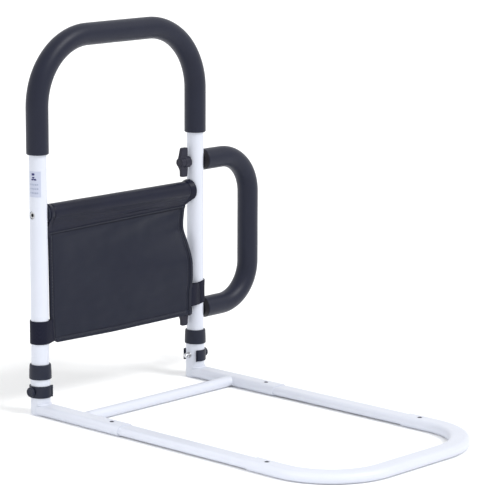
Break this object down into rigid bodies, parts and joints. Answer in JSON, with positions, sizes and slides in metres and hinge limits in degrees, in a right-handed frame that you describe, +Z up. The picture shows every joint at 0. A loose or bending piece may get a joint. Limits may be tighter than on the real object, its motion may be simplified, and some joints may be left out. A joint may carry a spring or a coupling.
{
  "type": "bed assist rail",
  "caption": "Free-standing bed rail: foam-covered hoop with a side grab handle and hanging pouch, on a flat tubular base that slides under a mattress.",
  "frame": {"origin": "on the floor plane, under the middle of the part's bounding box", "axes": "+X along the hoop's width towards the side handle, -Y from the hoop towards the far end of the base, +Z up"},
  "size_m": [0.461, 0.584, 0.546],
  "materials": {
    "white_powder_coat": "semi-gloss white powder coat",
    "black_plastic": "moulded black plastic, light texture",
    "pin_steel": "bright plated pin",
    "plated_steel": "bright zinc plate",
    "dark_steel": null,
    "plain_steel": "drawn steel",
    "brass": "turned brass",
    "foam_skin": "dark grey closed-cell foam with a smooth skin",
    "pouch_cloth": "black woven polyester with a coated sheen",
    "webbing": "black webbing",
    "label_film": null
  },
  "bodies": {
    "base": {"left_socket": "white_powder_coat", "right_socket": "white_powder_coat", "left_stub": "white_powder_coat", "right_stub": "white_powder_coat", "cross_tube": "white_powder_coat", "left_rail": "white_powder_coat", "right_rail": "white_powder_coat", "front_loop": "white_powder_coat", "foot_plugs": "black_plastic", "left_collar": "black_plastic", "right_collar": "black_plastic", "left_clip_band": "black_plastic", "right_clip_band": "black_plastic", "spring_rear_left": "plain_steel", "spring_rear_right": "plain_steel", "spring_front_left": "plain_steel", "spring_front_right": "plain_steel"},
    "hoop": {"hoop_tube": "white_powder_coat", "hoop_foam": "foam_skin", "label": "label_film", "pouch_bar": "plain_steel", "left_saddle": "black_plastic", "right_saddle": "black_plastic", "bar_screws": "plated_steel", "pouch_sleeve": "pouch_cloth", "pouch_panel": "pouch_cloth", "pouch_pocket": "pouch_cloth", "left_strap": "webbing", "right_strap": "webbing", "side_handle_tube": "white_powder_coat", "side_handle_foam": "foam_skin", "upper_handle_cap": "black_plastic", "lower_handle_cap": "black_plastic", "handle_studs": "plain_steel", "handle_plugs": "plain_steel", "knob_washers": "plain_steel"},
    "left_pin": {"left_clip_pin": "pin_steel"},
    "right_pin": {"right_clip_pin": "pin_steel"},
    "button_rear_left": {"button_rear_left": "dark_steel"},
    "button_rear_right": {"button_rear_right": "dark_steel"},
    "button_front_left": {"button_front_left": "dark_steel"},
    "button_front_right": {"button_front_right": "dark_steel"},
    "upper_knob": {"upper_knob": "black_plastic", "upper_insert": "brass"},
    "lower_knob": {"lower_knob": "black_plastic", "lower_insert": "brass"}
  },
  "joints": [
    {"name": "height_slide", "type": "slide", "parent": "base", "child": "hoop", "axis": [0, 0, 1], "range_m": [0, 0.018]},
    {"name": "left_pin_slide", "type": "slide", "parent": "base", "child": "left_pin", "axis": [-1, 0, 0], "range_m": [0, 0.042]},
    {"name": "right_pin_slide", "type": "slide", "parent": "base", "child": "right_pin", "axis": [1, 0, 0], "range_m": [0, 0.042]},
    {"name": "button_rear_left_press", "type": "slide", "parent": "base", "child": "button_rear_left", "axis": [0, 0, -1], "range_m": [0, 0.0035], "stiffness_N_per_m": 1500, "springref_m": -0.001, "deforming": ["spring_rear_left"]},
    {"name": "button_rear_right_press", "type": "slide", "parent": "base", "child": "button_rear_right", "axis": [0, 0, -1], "range_m": [0, 0.0035], "stiffness_N_per_m": 1500, "springref_m": -0.001, "deforming": ["spring_rear_right"]},
    {"name": "button_front_left_press", "type": "slide", "parent": "base", "child": "button_front_left", "axis": [0, 0, -1], "range_m": [0, 0.0035], "stiffness_N_per_m": 1500, "springref_m": -0.001, "deforming": ["spring_front_left"]},
    {"name": "button_front_right_press", "type": "slide", "parent": "base", "child": "button_front_right", "axis": [0, 0, -1], "range_m": [0, 0.0035], "stiffness_N_per_m": 1500, "springref_m": -0.001, "deforming": ["spring_front_right"]},
    {"name": "upper_knob_turn", "type": "hinge", "parent": "hoop", "child": "upper_knob", "pos_m": [0.10128, 0.276, 0.327], "axis": [1, 0, 0], "continuous": true},
    {"name": "lower_knob_turn", "type": "hinge", "parent": "hoop", "child": "lower_knob", "pos_m": [0.10128, 0.276, 0.103], "axis": [1, 0, 0], "continuous": true}
  ]
}
